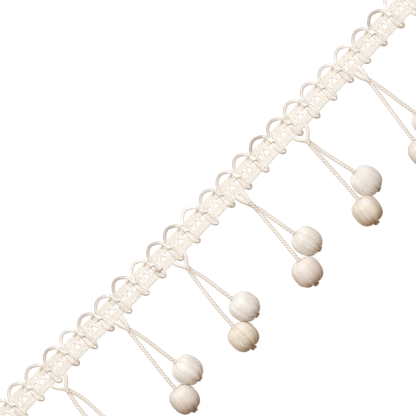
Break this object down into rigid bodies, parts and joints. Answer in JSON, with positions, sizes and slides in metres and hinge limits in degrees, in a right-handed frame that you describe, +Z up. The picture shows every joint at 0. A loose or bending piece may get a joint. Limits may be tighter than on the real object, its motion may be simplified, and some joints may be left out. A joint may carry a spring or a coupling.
{
  "type": "beaded fringe trim",
  "caption": "Straight cut length of beaded fringe trim: a flat woven heading with a scalloped gimp cord, and pairs of thread-wrapped beads on twisted cords hanging from looped necks.",
  "frame": {"origin": "on the surface that the trim lies on, under the middle of its box", "axes": "+X along the trim, +Y from the beads to the scallops, +Z up out of the trim's face"},
  "size_m": [0.2346, 0.053, 0.0094],
  "materials": {
    "woven_cotton": "matte ivory ribbed weave",
    "wrapped_gimp": "shiny ivory wrapped cord",
    "twisted_cord": "matte cream two-ply cord",
    "pale_thread": "satin ivory thread wrapped lengthwise",
    "beige_thread": "satin beige thread wrapped lengthwise"
  },
  "bodies": {
    "root": {"heading": "woven_cotton", "scroll_gimp": "wrapped_gimp", "fringe_1": "twisted_cord", "fringe_2": "twisted_cord", "fringe_3": "twisted_cord", "fringe_4": "twisted_cord", "fringe_5": "twisted_cord", "fringe_6": "twisted_cord", "fringe_7": "twisted_cord", "fringe_8": "twisted_cord", "bead_1_short": "pale_thread", "bead_1_long": "beige_thread", "bead_2_short": "pale_thread", "bead_2_long": "beige_thread", "bead_3_short": "pale_thread", "bead_3_long": "beige_thread", "bead_4_short": "pale_thread", "bead_4_long": "beige_thread", "bead_5_short": "pale_thread", "bead_5_long": "beige_thread", "bead_6_short": "pale_thread", "bead_6_long": "beige_thread", "bead_7_short": "pale_thread", "bead_7_long": "beige_thread", "bead_8_short": "pale_thread", "bead_8_long": "beige_thread"}
  },
  "joints": []
}
